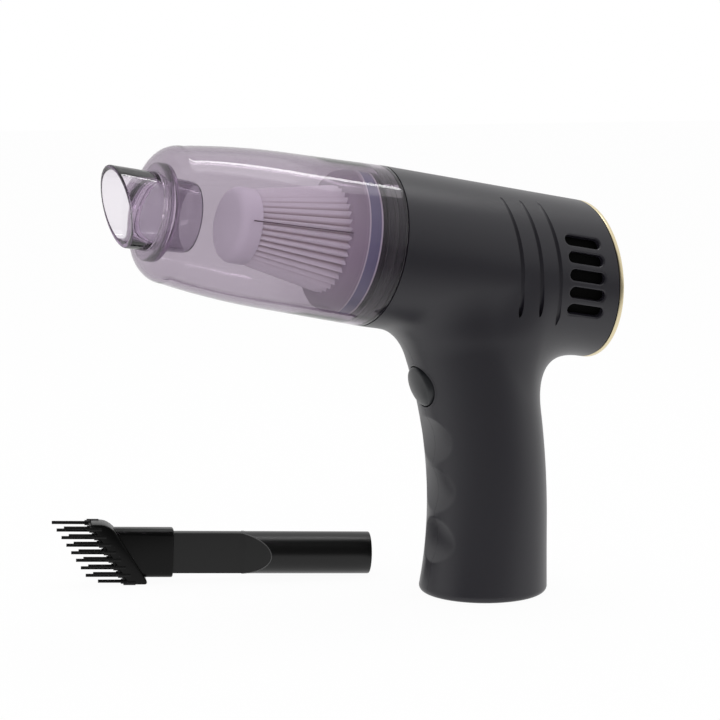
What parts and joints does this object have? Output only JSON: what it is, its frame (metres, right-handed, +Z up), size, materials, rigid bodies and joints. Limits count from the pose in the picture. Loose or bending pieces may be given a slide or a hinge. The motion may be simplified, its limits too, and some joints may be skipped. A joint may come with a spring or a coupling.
{
  "type": "car vacuum cleaner",
  "caption": "Cordless pistol-grip car vacuum with a clear pull-off dust cup over a pleated filter, a fan motor in the barrel, and a loose crevice tool with a brush head.",
  "frame": {"origin": "middle of the flat base of the grip", "axes": "+Z up, nozzle towards -X, the side with the pictured vents is -Y"},
  "size_m": [0.2164, 0.1269, 0.1913],
  "materials": {
    "casing": "soft-touch matte black",
    "black_plastic": "moulded black",
    "gloss_black": "polished black",
    "smoke_clear": "smoky violet clear",
    "white_plastic": "white moulded",
    "filter_paper": "white pleated paper",
    "seal_rubber": "black rubber",
    "gold_trim": "gold metallic",
    "steel": "plain steel",
    "magnet": "dark sintered",
    "bush_brass": "sintered",
    "cell_wrap": "blue sleeve",
    "board_green": "board lacquer",
    "tool_black": "satin black",
    "bristle_black": "black filament"
  },
  "bodies": {
    "casing": {"body_shell_left": "casing", "body_shell_right": "casing", "base_cap": "black_plastic", "front_spigot": "black_plastic", "cup_seal": "seal_rubber", "rear_trim_ring": "gold_trim", "rear_cover": "black_plastic", "casing_screws": "steel", "button_bezel": "gloss_black", "switch_body": "black_plastic", "fan_shroud": "black_plastic", "motor_mount": "black_plastic", "motor_can": "steel", "motor_magnets": "magnet", "motor_endcap": "black_plastic", "front_bush": "bush_brass", "rear_bush": "bush_brass", "motor_cradle": "black_plastic", "battery_cell_rear": "cell_wrap", "battery_cell_left": "cell_wrap", "battery_cell_right": "cell_wrap", "battery_tray": "black_plastic", "battery_cap": "black_plastic", "control_board": "board_green", "charge_socket": "black_plastic"},
    "cup": {"dust_cup": "smoke_clear", "inlet_nozzle": "smoke_clear", "nozzle_seal": "seal_rubber"},
    "filter": {"filter_frame": "white_plastic", "filter_pleats": "filter_paper", "filter_gasket": "seal_rubber"},
    "fan": {"impeller": "white_plastic", "motor_rotor": "steel"},
    "button": {"power_button": "gloss_black"},
    "tool": {"crevice_tool": "tool_black"},
    "brush": {"brush_head": "gloss_black", "brush_bristles": "bristle_black"}
  },
  "joints": [
    {"name": "cup_pull", "type": "slide", "parent": "casing", "child": "cup", "axis": [-0.9848, 0, 0.1736], "range_m": [0, 0.08]},
    {"name": "filter_pull", "type": "slide", "parent": "casing", "child": "filter", "axis": [-0.9848, 0, 0.1736], "range_m": [0, 0.014]},
    {"name": "fan_spin", "type": "hinge", "parent": "casing", "child": "fan", "pos_m": [-0.0358, 0, 0.14573], "axis": [-0.9848, 0, 0.1736], "continuous": true},
    {"name": "button_press", "type": "slide", "parent": "casing", "child": "button", "axis": [0.9563, 0, 0.2924], "range_m": [0, 0.0016], "stiffness_N_per_m": 900, "springref_m": -0.001},
    {"name": "tool_lift", "type": "slide", "parent": "casing", "child": "tool", "axis": [0, 0, 1], "range_m": [0, 0.08]},
    {"name": "brush_pull", "type": "slide", "parent": "tool", "child": "brush", "axis": [-0.9529, 0.3005, 0.0403], "range_m": [0, 0.03]}
  ]
}
